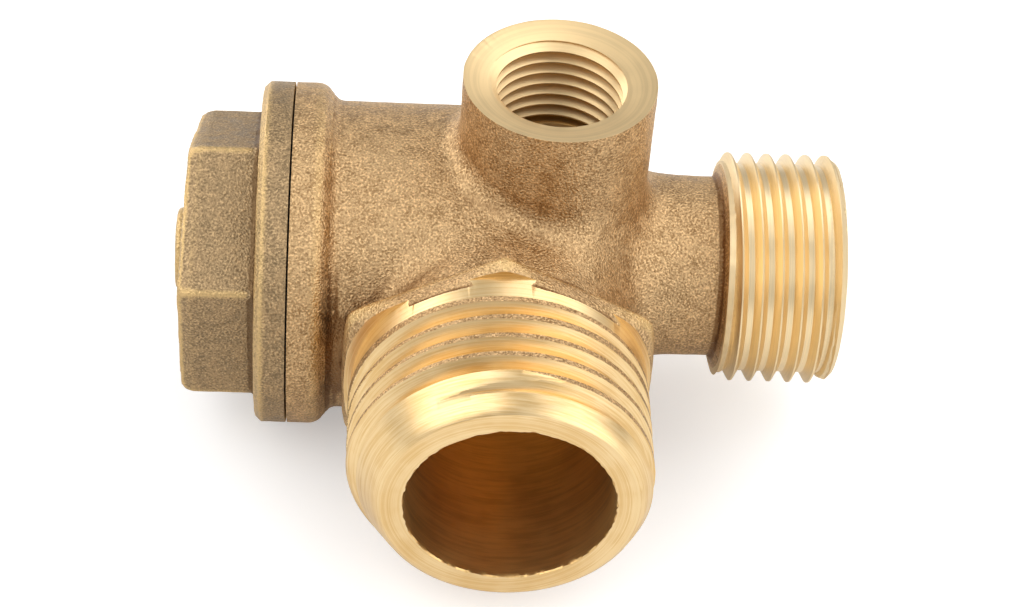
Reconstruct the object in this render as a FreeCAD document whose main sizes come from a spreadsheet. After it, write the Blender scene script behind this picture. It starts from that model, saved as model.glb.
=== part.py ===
"""Air compressor non-return valve: a cast brass body with three threaded ports and a screwed end cap.

The barrel axis is X, the tank port points to -Y and the unloader boss to +Z.
The model's origin is the centre of the tank port's end face. The body is drawn about
the point where the barrel axis and the tank port's axis cross.
Lengths are in millimetres. A reach is a distance from that crossing along an axis.
"""

import FreeCAD, Part
import Sketcher
import math
import os

DIMENSIONS = {
    # barrel, flange and neck
    "barrel_dia": 23.4,
    "flange_dia": 26.0,
    "flange_thickness": 2.9,
    "flange_round": 1.2,
    "flange_root_round": 0.8,
    "joint_reach": 15.7,
    "joint_gap": 0.15,
    "shoulder_reach": 5.5,
    "shoulder_length": 5.2,
    "neck_dia": 13.8,
    # inlet port, M18 x 1.5
    "inlet_reach": 25.8,
    "inlet_major_dia": 17.6,
    "inlet_pitch": 1.5,
    "inlet_thread_depth": 0.8,
    "inlet_collar_reach": 16.3,
    "inlet_land_start": 17.1,
    "inlet_land_end": 17.55,
    "inlet_face_dia": 16.2,
    "inlet_passage_dia": 8.0,
    "tube_socket_dia": 10.2,
    "tube_socket_depth": 6.0,
    "tube_seat_dia": 12.6,
    # tank port, 7/8-14 UNF
    "tank_reach": 25.7,
    "tank_major_dia": 22.1,
    "tank_pitch": 1.814,
    "tank_thread_depth": 1.11,
    "tank_land": 1.3,
    "tank_face_dia": 18.7,
    "tank_bore_dia": 15.0,
    "tank_bore_floor": 7.0,
    "stub_dia": 19.2,
    "stub_root_round": 1.2,
    "hex_width": 22.7,
    "hex_height": 23.7,
    "hex_side": 11.8,
    "hex_back_reach": 12.45,
    "hex_reach": 15.1,
    "hex_turned_dia": 22.3,
    "hex_turned_reach": 14.2,
    "hex_rim_dia": 22.9,
    # unloader port, 1/8 pipe thread
    "boss_offset": 3.65,
    "boss_reach": 17.8,
    "boss_dia": 14.2,
    "boss_mouth_dia": 14.0,
    "boss_mouth_floor_dia": 10.8,
    "boss_mouth_depth": 0.53,
    "boss_tap_dia": 9.3,
    "boss_tap_depth": 7.9,
    "boss_drill_dia": 3.0,
    "boss_root_round": 1.5,
    # valve chamber and seat
    "cap_thread_dia": 19.2,
    "cap_thread_depth": 7.3,
    "chamber_dia": 18.0,
    "chamber_floor": 0.6,
    "seat_height": 1.0,
    "seat_land_dia": 9.4,
    "seat_root_dia": 11.0,
    # gasket
    "gasket_thickness": 0.3,
    "gasket_seat_dia": 23.0,
    "gasket_dia": 22.8,
    "gasket_bore_dia": 19.6,
    "fit_gap": 0.05,
    # end cap, its hexagon turned on the thread by cap_turn degrees
    "cap_flange_thickness": 2.3,
    "cap_flange_bevel": 0.4,
    "cap_hex_flats": 19.2,
    "cap_turn": 5.0,
    "cap_length": 7.7,
    "cap_face_dia": 20.9,
    "cap_bevel_length": 0.9,
    "pip_dia": 6.3,
    "pip_height": 0.55,
    "cap_thread_length": 6.6,
    "skirt_length": 8.2,
    "skirt_nose_dia": 17.2,
    "guide_bore_dia": 12.0,
    "guide_bore_floor": 3.3,
    "spring_recess_dia": 9.2,
    "spring_recess_floor": 4.1,
    # poppet, seal and spring
    "poppet_head_dia": 13.6,
    "poppet_head_back": 3.7,
    "guide_end": 12.7,
    "seal_dia": 11.4,
    "seal_thickness": 2.2,
    "seal_stand": 0.5,
    "poppet_pocket_dia": 9.2,
    "poppet_pocket_floor": 3.4,
    "spring_dia": 8.4,
    "spring_wire": 0.7,
    "spring_closed_pitch": 0.74,
    "spring_end_grind": 0.15,
    "spring_active_turns": 6,
}

# How far a cut or a thread runs on past the end of the piece, and how deep a ridge's foot is sunk.
OVERRUN = 4.0
SUNK = 0.1
# Both outside threads: the flank's angle in degrees, and half the crest's width as a share of the pitch.
THREAD_FLANK = 30.0
THREAD_CREST = 1 / 10
# Slopes of the turned chamfers: length along the axis for a unit of radius.
TANK_CHAMFER = math.tan(math.radians(60.0))
INLET_CHAMFER = math.tan(math.radians(45.0))
CAP_CHAMFER = math.tan(math.radians(70.0))
# The cap hexagon's end narrows by this many degrees.
CAP_BEVEL = 17.0
DRILL_POINT = math.tan(math.radians(12.0))
# Points sampled on an edge to find it, and how near they lie to the wanted curve and clear of its ends.
SAMPLES = 7
NEAR = 0.003
CLEAR = 0.05


class Size:
    """A length with the sheet expression that gives it, so that a sum of sizes stays bound to the sheet."""

    def __init__(self, value, text):
        self.value = value
        self.text = text

    def joined(self, other, sign, value):
        return Size(value, f"({self.text} {sign} {text_of(other)})")

    def __add__(self, other):
        return self.joined(other, "+", self.value + value_of(other))

    def __sub__(self, other):
        return self.joined(other, "-", self.value - value_of(other))

    def __rsub__(self, other):
        return Size(other - self.value, f"({text_of(other)} - {self.text})")

    def __mul__(self, other):
        return self.joined(other, "*", self.value * value_of(other))

    def __truediv__(self, other):
        return self.joined(other, "/", self.value / value_of(other))

    def __neg__(self):
        return self * -1


def value_of(size):
    return size.value if isinstance(size, Size) else float(size)


def text_of(size):
    return size.text if isinstance(size, Size) else f"({float(size):.9g})"


class Sizes:
    """The driving dimensions by name, read from the sheet."""

    def __init__(self, sheet):
        self.sheet = sheet

    def __getattr__(self, name):
        return Size(float(self.sheet.get(name)), f"Dimensions.{name}")


def make_sheet(doc):
    sheet = doc.addObject("Spreadsheet::Sheet", "Dimensions")
    for row, (name, value) in enumerate(DIMENSIONS.items(), start=1):
        sheet.set(f"A{row}", name)
        sheet.set(f"B{row}", str(value))
        sheet.setAlias(f"B{row}", name)
    doc.recompute()
    return sheet


def set_size(feature, prop, size):
    """Gives a feature's property a size and binds it to the sheet."""
    setattr(feature, prop, value_of(size))
    if isinstance(size, Size):
        feature.setExpression(prop, size.text)


def new_body(doc, label):
    body = doc.addObject("PartDesign::Body", label)
    body.Label = label
    return body


def place(body, along_barrel, behind_face, turned_by=0.0):
    """Puts a body's drawing origin on the barrel axis, behind the tank port's end face, turned about X."""
    base = FreeCAD.Vector(value_of(along_barrel), value_of(behind_face), 0.0)
    rotation = FreeCAD.Rotation(FreeCAD.Vector(1.0, 0.0, 0.0), value_of(turned_by))
    body.Placement = FreeCAD.Placement(base, rotation)
    if isinstance(turned_by, Size):
        body.setExpression("Placement.Rotation.Angle", turned_by.text)
    if isinstance(along_barrel, Size):
        body.setExpression("Placement.Base.x", along_barrel.text)
    body.setExpression("Placement.Base.y", behind_face.text)


def new_sketch(body, name, role):
    sketch = body.newObject("Sketcher::SketchObject", name)
    plane = next(f for f in body.Origin.OriginFeatures if f.Role == role)
    sketch.AttachmentSupport = [(plane, "")]
    sketch.MapMode = "FlatFace"
    return sketch


def pin_coordinate(sketch, kind, edge, point, size):
    """Holds a point of an edge at a coordinate, on the axis itself where the coordinate is nought."""
    if value_of(size) == 0.0:
        axis = -2 if kind == "DistanceX" else -1
        sketch.addConstraint(Sketcher.Constraint("PointOnObject", edge, point, axis))
        return
    index = sketch.addConstraint(Sketcher.Constraint(kind, -1, 1, edge, point, value_of(size)))
    if isinstance(size, Size):
        sketch.setExpression(f"Constraints[{index}]", size.text)


def pin_point(sketch, edge, point, place_held):
    """Holds a point of an edge at both coordinates."""
    pin_coordinate(sketch, "DistanceX", edge, point, place_held[0])
    pin_coordinate(sketch, "DistanceY", edge, point, place_held[1])


def to_vector(point):
    return FreeCAD.Vector(value_of(point[0]), value_of(point[1]), 0.0)


def draw_polygon(sketch, points):
    """A closed outline through the points, each held by its two coordinates."""
    corners = [to_vector(point) for point in points]
    count = len(corners)
    for i in range(count):
        sketch.addGeometry(Part.LineSegment(corners[i], corners[(i + 1) % count]), False)
    for i in range(count):
        sketch.addConstraint(Sketcher.Constraint("Coincident", i, 2, (i + 1) % count, 1))
    for i, point in enumerate(points):
        pin_point(sketch, i, 1, point)


def draw_circle(sketch, x, y, diameter):
    """A circle whose centre is held by its two coordinates."""
    circle = Part.Circle(to_vector((x, y)), FreeCAD.Vector(0, 0, 1), value_of(diameter) / 2)
    edge = sketch.addGeometry(circle, False)
    pin_point(sketch, edge, 3, (x, y))
    index = sketch.addConstraint(Sketcher.Constraint("Diameter", edge, value_of(diameter)))
    sketch.setExpression(f"Constraints[{index}]", diameter.text)


def turned(body, kind, name, sketch, axis):
    """A Revolution or a Groove: the sketch turned right round one of its axes."""
    feature = body.newObject(f"PartDesign::{kind}", name)
    feature.Profile = sketch
    feature.Refine = False
    feature.ReferenceAxis = (sketch, [axis])
    feature.Angle = 360.0
    return feature


def turn(body, kind, name, axis, points):
    """The outline on the XY plane, turned about X (H_Axis) or Y (V_Axis)."""
    sketch = new_sketch(body, f"{name}Profile", "XY_Plane")
    draw_polygon(sketch, points)
    return turned(body, kind, name, sketch, axis)


def hexagon(width, height, side):
    """Corners of a hexagon with two of them on the sketch's vertical axis, and two upright sides."""
    across = width / 2
    corner = height / 2
    half = side / 2
    return [(0.0, corner), (across, half), (across, -half), (0.0, -corner), (-across, -half), (-across, half)]


def pad(body, name, role, start, end, draw):
    """A Pad along the normal of an origin plane, between two distances from it."""
    sketch = new_sketch(body, f"{name}Outline", role)
    if isinstance(start, Size):
        sketch.AttachmentOffset = FreeCAD.Placement(
            FreeCAD.Vector(0.0, 0.0, start.value), FreeCAD.Rotation()
        )
        sketch.setExpression("AttachmentOffset.Base.z", start.text)
    draw(sketch)
    feature = body.newObject("PartDesign::Pad", name)
    feature.Profile = sketch
    feature.Refine = False
    set_size(feature, "Length", end - start)
    return feature


def thread(body, name, axis, section, pitch, height):
    """A right-handed ridge of the given section, wound along the axis."""
    sketch = new_sketch(body, f"{name}Section", "XY_Plane")
    draw_polygon(sketch, section)
    feature = body.newObject("PartDesign::AdditiveHelix", name)
    feature.Profile = sketch
    feature.Refine = False
    feature.ReferenceAxis = (sketch, [axis])
    feature.Mode = "pitch-height-angle"
    feature.HasBeenEdited = True
    set_size(feature, "Pitch", pitch)
    set_size(feature, "Height", height)
    return feature


def ridge_half_widths(depth, flank_angle, crest):
    """Half the ridge's width at its crest and at its foot, which is sunk into the root."""
    return crest, (depth + SUNK) * math.tan(math.radians(flank_angle)) + crest


def round_edges(doc, body, name, radius, wanted):
    """A Fillet on the edges whose inner sample points all pass the test."""
    doc.recompute()
    base = body.Tip
    names = [
        f"Edge{i}"
        for i, edge in enumerate(base.Shape.Edges, start=1)
        if all(wanted(p) for p in edge.discretize(SAMPLES)[1:-1])
    ]
    fillet = body.newObject("PartDesign::Fillet", name)
    fillet.Base = (base, names)
    fillet.Refine = False
    set_size(fillet, "Radius", radius)


def on_circle(x, radius):
    """A test for points on a circle about the barrel axis."""
    return lambda p: abs(p.x - x) < NEAR and abs(math.hypot(p.y, p.z) - radius) < NEAR


def draw_barrel(sketch, d):
    """Half of the cast barrel: flange, then one smooth curve over the barrel's shoulder to the neck."""
    joint = -d.joint_reach + d.joint_gap / 2
    flange_end = -d.joint_reach + d.flange_thickness
    barrel = d.barrel_dia / 2
    neck = d.neck_dia / 2
    poles = [
        (flange_end, barrel),
        (-d.shoulder_reach, barrel),
        (0.0, barrel),
        (d.shoulder_reach, barrel),
        (d.shoulder_reach + d.shoulder_length / 4, barrel - d.shoulder_length / 6),
        (d.shoulder_reach + d.shoulder_length / 2, (barrel + neck) / 2),
        (d.shoulder_reach + d.shoulder_length, neck),
        (d.inlet_collar_reach - d.shoulder_length / 2, neck),
        (d.inlet_collar_reach, neck),
    ]
    outline = [
        poles[-1],
        (d.inlet_collar_reach, 0.0),
        (joint, 0.0),
        (joint, d.flange_dia / 2),
        (flange_end, d.flange_dia / 2),
    ]
    corners = [to_vector(point) for point in outline + [poles[0]]]
    for start, end in zip(corners, corners[1:]):
        sketch.addGeometry(Part.LineSegment(start, end), False)
    for edge in range(1, len(outline)):
        sketch.addConstraint(Sketcher.Constraint("Coincident", edge - 1, 2, edge, 1))
    for edge, point in enumerate(outline):
        pin_point(sketch, edge, 1, point)
    curve = Part.BSplineCurve()
    curve.buildFromPoles([to_vector(point) for point in poles], False, 3)
    spline = sketch.addGeometry(curve, False)
    sketch.addConstraint(Sketcher.Constraint("Coincident", spline, 1, spline - 1, 2))
    sketch.addConstraint(Sketcher.Constraint("Coincident", spline, 2, 0, 1))
    sketch.exposeInternalGeometry(spline)
    for pole, point in enumerate(poles[:-1], start=spline + 1):
        pin_point(sketch, pole, 3, point)


def cast_barrel(doc, body, d):
    """Barrel with its flange and neck."""
    sketch = new_sketch(body, "BarrelProfile", "XY_Plane")
    draw_barrel(sketch, d)
    turned(body, "Revolution", "Barrel", sketch, "H_Axis")
    flange_end = value_of(d.flange_thickness) - value_of(d.joint_reach)
    rim = on_circle(flange_end, value_of(d.flange_dia) / 2)
    root = on_circle(flange_end, value_of(d.barrel_dia) / 2)
    round_edges(doc, body, "FlangeRound", d.flange_round, rim)
    round_edges(doc, body, "FlangeRoot", d.flange_root_round, root)


def cast_boss(doc, body, d):
    """The unloader boss, round at its root."""
    pad(
        body, "Boss", "XY_Plane", 0.0, d.boss_reach,
        lambda sketch: draw_circle(sketch, d.boss_offset, 0.0, d.boss_dia),
    )
    radius = value_of(d.boss_dia) / 2
    offset = value_of(d.boss_offset)
    top = value_of(d.boss_reach)

    def at_root(p):
        return abs(math.hypot(p.x - offset, p.y) - radius) < NEAR and CLEAR < p.z < top - CLEAR

    round_edges(doc, body, "BossRoot", d.boss_root_round, at_root)


def cast_tank_port(doc, body, d):
    """The tank port's round stub, round at its root, with a hexagonal collar in front."""
    pad(
        body, "TankStub", "XZ_Plane", 0.0, d.hex_reach,
        lambda sketch: draw_circle(sketch, 0.0, 0.0, d.stub_dia),
    )
    radius = value_of(d.stub_dia) / 2
    front = value_of(d.hex_reach)

    def at_root(p):
        return abs(math.hypot(p.x, p.z) - radius) < NEAR and -front + CLEAR < p.y < -CLEAR

    round_edges(doc, body, "StubRoot", d.stub_root_round, at_root)
    pad(
        body, "TankHexagon", "XZ_Plane", d.hex_back_reach, d.hex_reach,
        lambda sketch: draw_polygon(sketch, hexagon(d.hex_width, d.hex_height, d.hex_side)),
    )


def turn_tank_port(body, d):
    """Corners of the hexagon turned down, and the thread with its run-out land, face, chamfer and bore."""
    turned_r = d.hex_turned_dia / 2
    major = d.tank_major_dia / 2
    root = major - d.tank_thread_depth
    rim = d.hex_rim_dia / 2
    clear = d.hex_height * 0.55
    turn(body, "Groove", "HexagonTurned", "V_Axis", [
        (turned_r, -d.hex_turned_reach),
        (rim, -d.hex_turned_reach),
        (clear, -d.hex_turned_reach + (clear - rim)),
        (clear, -d.tank_reach),
        (turned_r, -d.tank_reach),
    ])
    turn(body, "Revolution", "TankBlank", "V_Axis", [
        (0.0, -d.hex_back_reach),
        (root, -d.hex_back_reach),
        (root, -d.hex_reach),
        (major, -d.hex_reach),
        (major, -d.hex_reach - d.tank_land),
        (root, -d.hex_reach - d.tank_land),
        (root, -d.tank_reach - OVERRUN),
        (0.0, -d.tank_reach - OVERRUN),
    ])
    start = -d.tank_reach - d.tank_pitch * 1.5
    crest, foot = ridge_half_widths(d.tank_thread_depth, THREAD_FLANK, d.tank_pitch * THREAD_CREST)
    section = [
        (major, start + crest),
        (root - SUNK, start + foot),
        (root - SUNK, start - foot),
        (major, start - crest),
    ]
    height = -(d.hex_reach + d.tank_land / 2) - start
    thread(body, "TankThread", "V_Axis", section, d.tank_pitch, height)
    face = d.tank_face_dia / 2
    outer = major + OVERRUN / 2
    turn(body, "Groove", "TankFace", "V_Axis", [
        (0.0, -d.tank_reach),
        (face, -d.tank_reach),
        (outer, -d.tank_reach + (outer - face) * TANK_CHAMFER),
        (outer, -d.tank_reach - OVERRUN * 2),
        (0.0, -d.tank_reach - OVERRUN * 2),
    ])
    turn(body, "Groove", "TankBore", "V_Axis", [
        (0.0, -d.tank_bore_floor),
        (d.tank_bore_dia / 2, -d.tank_bore_floor),
        (d.tank_bore_dia / 2, -d.tank_reach - OVERRUN),
        (0.0, -d.tank_reach - OVERRUN),
    ])


def turn_inlet_port(body, d):
    """The M18 x 1.5 thread with its collar, run-out land, face and chamfer."""
    major = d.inlet_major_dia / 2
    root = major - d.inlet_thread_depth
    neck = d.neck_dia / 2
    turn(body, "Revolution", "InletBlank", "H_Axis", [
        (d.inlet_collar_reach, 0.0),
        (d.inlet_collar_reach, neck),
        (d.inlet_land_start, major),
        (d.inlet_land_end, major),
        (d.inlet_land_end, root),
        (d.inlet_reach + OVERRUN, root),
        (d.inlet_reach + OVERRUN, 0.0),
    ])
    start = (d.inlet_land_start + d.inlet_land_end) / 2
    crest, foot = ridge_half_widths(d.inlet_thread_depth, THREAD_FLANK, d.inlet_pitch * THREAD_CREST)
    section = [
        (start - crest, major),
        (start - foot, root - SUNK),
        (start + foot, root - SUNK),
        (start + crest, major),
    ]
    thread(body, "InletThread", "H_Axis", section, d.inlet_pitch, d.inlet_reach + d.inlet_pitch - start)
    face = d.inlet_face_dia / 2
    outer = major + OVERRUN / 2
    turn(body, "Groove", "InletFace", "H_Axis", [
        (d.inlet_reach, 0.0),
        (d.inlet_reach, face),
        (d.inlet_reach - (outer - face) * INLET_CHAMFER, outer),
        (d.inlet_reach + OVERRUN * 2, outer),
        (d.inlet_reach + OVERRUN * 2, 0.0),
    ])


def bore_barrel(body, d):
    """Along the barrel axis: cap thread, chamber with its raised seat, inlet passage and tube socket."""
    mouth = -d.joint_reach + d.joint_gap / 2
    gasket_seat = mouth + d.gasket_thickness - d.joint_gap
    thread_r = d.cap_thread_dia / 2
    chamber = d.chamber_dia / 2
    passage = d.inlet_passage_dia / 2
    socket = d.tube_socket_dia / 2
    thread_end = mouth + d.cap_thread_depth
    seat = d.chamber_floor - d.seat_height
    tube_seat = d.tube_seat_dia / 2
    turn(body, "Groove", "BarrelBore", "H_Axis", [
        (mouth - OVERRUN, 0.0),
        (mouth - OVERRUN, d.gasket_seat_dia / 2),
        (gasket_seat, d.gasket_seat_dia / 2),
        (gasket_seat, thread_r),
        (thread_end, thread_r),
        (thread_end, chamber),
        (d.chamber_floor, chamber),
        (d.chamber_floor, d.seat_root_dia / 2),
        (seat, d.seat_land_dia / 2),
        (seat, passage),
        (d.inlet_reach - d.tube_socket_depth, passage),
        (d.inlet_reach - d.tube_socket_depth, socket),
        (d.inlet_reach - (tube_seat - socket), socket),
        (d.inlet_reach, tube_seat),
        (d.inlet_reach + OVERRUN, tube_seat),
        (d.inlet_reach + OVERRUN, 0.0),
    ])


def bore_boss(body, d):
    """The 1/8 pipe hole at its tapping size: dished mouth, drill point and the drilling to the inlet."""
    sketch = new_sketch(body, "BossBoreProfile", "XZ_Plane")
    mouth = d.boss_mouth_dia / 2
    mouth_floor = d.boss_mouth_floor_dia / 2
    tap = d.boss_tap_dia / 2
    drill = d.boss_drill_dia / 2
    tap_floor = d.boss_reach - d.boss_tap_depth
    point_depth = (tap - drill) * DRILL_POINT
    draw_polygon(sketch, [
        (d.boss_offset, d.boss_reach + OVERRUN),
        (d.boss_offset + mouth, d.boss_reach + OVERRUN),
        (d.boss_offset + mouth, d.boss_reach),
        (d.boss_offset + mouth_floor, d.boss_reach - d.boss_mouth_depth),
        (d.boss_offset + tap, d.boss_reach - d.boss_mouth_depth),
        (d.boss_offset + tap, tap_floor),
        (d.boss_offset + drill, tap_floor - point_depth),
        (d.boss_offset + drill, 0.0),
        (d.boss_offset, 0.0),
    ])
    axis_bottom = to_vector((d.boss_offset, 0.0))
    axis_top = to_vector((d.boss_offset, d.boss_reach))
    axis = sketch.addGeometry(Part.LineSegment(axis_bottom, axis_top), True)
    pin_point(sketch, axis, 1, (d.boss_offset, 0.0))
    pin_point(sketch, axis, 2, (d.boss_offset, d.boss_reach))
    turned(body, "Groove", "BossBore", sketch, "Axis0")


def valve_body(doc, d):
    """The one-piece body: casting, three threaded ports, chamber and valve seat."""
    body = new_body(doc, "valve_body")
    cast_barrel(doc, body, d)
    cast_boss(doc, body, d)
    cast_tank_port(doc, body, d)
    turn_tank_port(body, d)
    turn_inlet_port(body, d)
    bore_barrel(body, d)
    bore_boss(body, d)
    place(body, 0.0, d.tank_reach)
    return body


def cap_gasket(doc, d):
    """Flat sealing ring in the recess of the barrel's flange."""
    body = new_body(doc, "cap_gasket")
    turn(body, "Revolution", "Ring", "H_Axis", [
        (0.0, d.gasket_bore_dia / 2),
        (0.0, d.gasket_dia / 2),
        (d.gasket_thickness, d.gasket_dia / 2),
        (d.gasket_thickness, d.gasket_bore_dia / 2),
    ])
    place(body, -d.joint_reach - d.joint_gap / 2, d.tank_reach)
    return body


def end_cap(doc, d):
    """Screwed cap with a hexagon, a flange, a threaded skirt, and the bore that guides the poppet.

    It is drawn from the face of its flange, with the skirt towards +X.
    """
    body = new_body(doc, "end_cap")
    flange = d.flange_dia / 2
    skirt = d.cap_thread_dia / 2 - d.fit_gap
    nose = d.skirt_nose_dia / 2
    pip = d.pip_dia / 2
    turn(body, "Revolution", "FlangeAndSkirt", "H_Axis", [
        (-d.cap_length - d.pip_height, 0.0),
        (-d.cap_length - d.pip_height, pip - d.pip_height / 2),
        (-d.cap_length - d.pip_height / 2, pip),
        (-d.cap_flange_thickness, pip),
        (-d.cap_flange_thickness, flange - d.cap_flange_bevel),
        (d.cap_flange_bevel - d.cap_flange_thickness, flange),
        (0.0, flange),
        (0.0, skirt),
        (d.cap_thread_length, skirt),
        (d.cap_thread_length, nose),
        (d.skirt_length, nose),
        (d.skirt_length, 0.0),
    ])
    side = d.cap_hex_flats / math.sqrt(3.0)
    bevel_start = d.cap_bevel_length - d.cap_length
    pad(
        body, "Hexagon", "YZ_Plane", bevel_start, -d.cap_flange_thickness / 2,
        lambda sketch: draw_polygon(sketch, hexagon(d.cap_hex_flats, side * 2, side)),
    )
    bevel = pad(
        body, "HexagonBevel", "YZ_Plane", bevel_start, bevel_start + d.cap_bevel_length,
        lambda sketch: draw_polygon(sketch, hexagon(d.cap_hex_flats, side * 2, side)),
    )
    bevel.Reversed = True
    bevel.TaperAngle = -CAP_BEVEL
    face = d.cap_face_dia / 2
    outer = d.cap_hex_flats * 0.6
    turn(body, "Groove", "HexagonChamfer", "H_Axis", [
        (-d.cap_length, face),
        (-d.cap_length + (outer - face) * CAP_CHAMFER, outer),
        (-d.cap_length - OVERRUN, outer),
        (-d.cap_length - OVERRUN, face),
    ])
    guide = d.guide_bore_dia / 2
    recess = d.spring_recess_dia / 2
    turn(body, "Groove", "GuideBore", "H_Axis", [
        (d.skirt_length + OVERRUN, 0.0),
        (d.skirt_length + OVERRUN, guide),
        (-d.guide_bore_floor, guide),
        (-d.guide_bore_floor, recess),
        (-d.spring_recess_floor, recess),
        (-d.spring_recess_floor, 0.0),
    ])
    place(body, -d.joint_reach - d.joint_gap / 2, d.tank_reach, d.cap_turn)
    return body


def seal_face(d):
    """Where the closed seal meets the seat, from the axes' crossing."""
    return d.chamber_floor - d.seat_height


def poppet(doc, d):
    """Guided plunger with the seal's recess and the spring's pocket, drawn from the seal's face."""
    body = new_body(doc, "poppet")
    head = d.poppet_head_dia / 2
    guide = d.guide_bore_dia / 2 - d.fit_gap
    seal = d.seal_dia / 2
    recess_floor = -d.seal_thickness
    pocket = d.poppet_pocket_dia / 2
    turn(body, "Revolution", "Plunger", "H_Axis", [
        (recess_floor, 0.0),
        (recess_floor, seal),
        (-d.seal_stand, seal),
        (-d.seal_stand, head),
        (-d.poppet_head_back, head),
        (-d.poppet_head_back, guide),
        (-d.guide_end, guide),
        (-d.guide_end, pocket),
        (-d.poppet_pocket_floor, pocket),
        (-d.poppet_pocket_floor, 0.0),
    ])
    place(body, seal_face(d), d.tank_reach)
    return body


def seal_disc(doc, d):
    """Rubber disc pressed into the poppet's head."""
    body = new_body(doc, "seal_disc")
    pad(
        body, "Disc", "YZ_Plane", -d.seal_thickness, 0.0,
        lambda sketch: draw_circle(sketch, 0.0, 0.0, d.seal_dia),
    )
    place(body, seal_face(d), d.tank_reach)
    return body


def coil(body, name, d, start, pitch, turns):
    """A stretch of the spring's wire, wound about X from the given station."""
    sketch = new_sketch(body, f"{name}Section", "XY_Plane")
    draw_circle(sketch, start, (d.spring_dia - d.spring_wire) / 2, d.spring_wire)
    feature = body.newObject("PartDesign::AdditiveHelix", name)
    feature.Profile = sketch
    feature.Refine = False
    feature.ReferenceAxis = (sketch, ["H_Axis"])
    feature.Mode = "pitch-turns-angle"
    feature.HasBeenEdited = True
    set_size(feature, "Pitch", pitch)
    set_size(feature, "Turns", turns)


def return_spring(doc, d):
    """Compression spring with a closed, ground turn at each end. Drawn from the cap's recess floor."""
    body = new_body(doc, "return_spring")
    floor = -d.joint_reach - d.joint_gap / 2 - d.spring_recess_floor
    length = seal_face(d) - d.poppet_pocket_floor - floor
    first = d.spring_wire / 2 - d.spring_end_grind
    active = length - first * 2 - d.spring_closed_pitch * 2
    coil(body, "FirstTurn", d, first, d.spring_closed_pitch, 1.0)
    active_start = first + d.spring_closed_pitch
    active_pitch = active / d.spring_active_turns
    coil(body, "ActiveTurns", d, active_start, active_pitch, d.spring_active_turns)
    coil(body, "LastTurn", d, active_start + active, d.spring_closed_pitch, 1.0)
    outer = d.spring_dia
    turn(body, "Groove", "FirstGround", "H_Axis", [
        (0.0, 0.0), (-d.spring_wire, 0.0), (-d.spring_wire, outer), (0.0, outer),
    ])
    turn(body, "Groove", "LastGround", "H_Axis", [
        (length, 0.0), (length, outer), (length + d.spring_wire, outer), (length + d.spring_wire, 0.0),
    ])
    place(body, floor, d.tank_reach)
    return body


def check(doc, bodies):
    """Stops if an object failed or a shape is empty or invalid."""
    for item in doc.Objects:
        if {"Invalid", "Error"} & set(item.State):
            raise RuntimeError(f"{item.Name} failed: {item.State}")
    for body in bodies:
        shape = body.Shape
        if shape.isNull() or not shape.isValid() or len(shape.Solids) != 1:
            raise RuntimeError(f"{body.Label} is not one valid solid")
        print(body.Label, round(shape.Volume, 2), shape.BoundBox)


def main():
    doc = FreeCAD.newDocument("non_return_valve")
    d = Sizes(make_sheet(doc))
    makers = (valve_body, end_cap, cap_gasket, poppet, seal_disc, return_spring)
    bodies = [make(doc, d) for make in makers]
    doc.recompute()
    check(doc, bodies)
    os.makedirs("parts", exist_ok=True)
    for body in bodies:
        body.Shape.exportStep(f"parts/{body.Label}.step")


main()
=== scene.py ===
"""Looks of the compressor non-return valve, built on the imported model.

Shapes are worked out in millimetres about the point where the barrel's axis and the tank port's axis
cross. The barrel points to +X, the tank port to -Y and the unloader boss to +Z.
"""

import math

import bpy
import numpy as np
from mathutils import Matrix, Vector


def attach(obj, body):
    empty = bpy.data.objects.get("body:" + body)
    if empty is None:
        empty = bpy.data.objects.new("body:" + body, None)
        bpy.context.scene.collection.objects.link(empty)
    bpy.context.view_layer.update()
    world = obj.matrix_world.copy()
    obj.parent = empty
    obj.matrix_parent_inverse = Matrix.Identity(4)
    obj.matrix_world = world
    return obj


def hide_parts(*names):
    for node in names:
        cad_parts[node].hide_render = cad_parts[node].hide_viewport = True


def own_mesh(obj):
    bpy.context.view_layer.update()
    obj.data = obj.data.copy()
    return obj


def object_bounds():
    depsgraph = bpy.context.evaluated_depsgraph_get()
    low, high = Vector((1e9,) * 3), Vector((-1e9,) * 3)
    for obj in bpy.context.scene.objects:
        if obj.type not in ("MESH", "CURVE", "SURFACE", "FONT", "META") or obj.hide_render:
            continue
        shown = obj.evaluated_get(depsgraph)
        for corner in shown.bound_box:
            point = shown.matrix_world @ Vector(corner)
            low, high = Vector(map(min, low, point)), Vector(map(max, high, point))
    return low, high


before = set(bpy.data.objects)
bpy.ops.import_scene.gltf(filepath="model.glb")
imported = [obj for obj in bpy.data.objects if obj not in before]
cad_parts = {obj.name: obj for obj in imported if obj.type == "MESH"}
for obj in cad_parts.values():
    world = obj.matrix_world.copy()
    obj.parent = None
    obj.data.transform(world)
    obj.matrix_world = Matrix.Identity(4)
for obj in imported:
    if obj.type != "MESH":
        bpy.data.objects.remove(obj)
CAD_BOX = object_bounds()

bl_info = {
    "name": "Compressor non-return valve",
    "version": (1, 0, 0),
    "blender": (4, 5, 0),
    "location": "View3D > Sidebar > Valve",
    "description": "Builds the brass non-return valve's surfaces, finishes and studio",
    "category": "Object",
}

MM = 0.001
TURN = 2 * math.pi
SQRT2 = math.sqrt(2)
COS30 = math.sqrt(0.75)

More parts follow.
